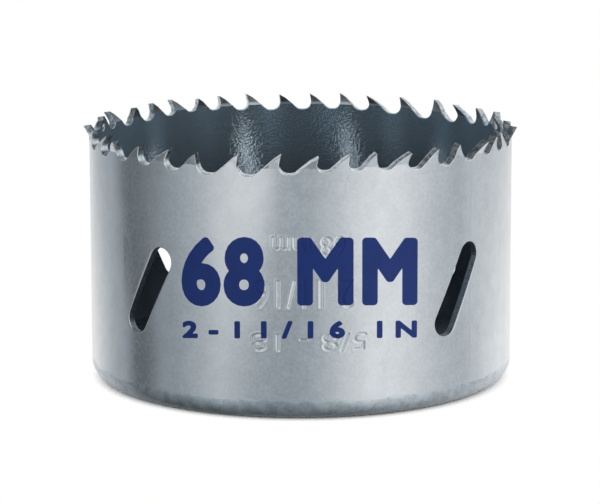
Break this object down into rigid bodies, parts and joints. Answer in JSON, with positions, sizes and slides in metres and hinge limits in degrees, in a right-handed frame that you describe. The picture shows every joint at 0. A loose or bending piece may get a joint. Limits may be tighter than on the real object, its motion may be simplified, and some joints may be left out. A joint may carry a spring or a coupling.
{
  "type": "hole saw",
  "caption": "Bi-metal hole saw: an open steel cup with a ring of set saw teeth, slanted core-removal slots and a threaded base plate.",
  "frame": {"origin": "centre of the base plate's back face, on the saw's axis", "axes": "+Z along the axis from the back face to the teeth; -Y is the front, halfway between two of the slots"},
  "size_m": [0.0676, 0.0672, 0.0401],
  "materials": {
    "lacquered_band": "satin",
    "high_speed_steel": "satin",
    "lacquered_plate": "satin",
    "lacquered_weld": "satin"
  },
  "bodies": {
    "root": {"toothed_band": "lacquered_band", "base_plate": "lacquered_plate", "corner_weld": "lacquered_weld", "tooth_tip_01": "high_speed_steel", "tooth_tip_02": "high_speed_steel", "tooth_tip_03": "high_speed_steel", "tooth_tip_04": "high_speed_steel", "tooth_tip_05": "high_speed_steel", "tooth_tip_06": "high_speed_steel", "tooth_tip_07": "high_speed_steel", "tooth_tip_08": "high_speed_steel", "tooth_tip_09": "high_speed_steel", "tooth_tip_10": "high_speed_steel", "tooth_tip_11": "high_speed_steel", "tooth_tip_12": "high_speed_steel", "tooth_tip_13": "high_speed_steel", "tooth_tip_14": "high_speed_steel", "tooth_tip_15": "high_speed_steel", "tooth_tip_16": "high_speed_steel", "tooth_tip_17": "high_speed_steel", "tooth_tip_18": "high_speed_steel", "tooth_tip_19": "high_speed_steel", "tooth_tip_20": "high_speed_steel", "tooth_tip_21": "high_speed_steel", "tooth_tip_22": "high_speed_steel", "tooth_tip_23": "high_speed_steel", "tooth_tip_24": "high_speed_steel", "tooth_tip_25": "high_speed_steel", "tooth_tip_26": "high_speed_steel", "tooth_tip_27": "high_speed_steel", "tooth_tip_28": "high_speed_steel", "tooth_tip_29": "high_speed_steel", "tooth_tip_30": "high_speed_steel", "tooth_tip_31": "high_speed_steel", "tooth_tip_32": "high_speed_steel", "tooth_tip_33": "high_speed_steel", "tooth_tip_34": "high_speed_steel", "tooth_tip_35": "high_speed_steel", "tooth_tip_36": "high_speed_steel", "tooth_tip_37": "high_speed_steel", "tooth_tip_38": "high_speed_steel", "tooth_tip_39": "high_speed_steel"}
  },
  "joints": []
}
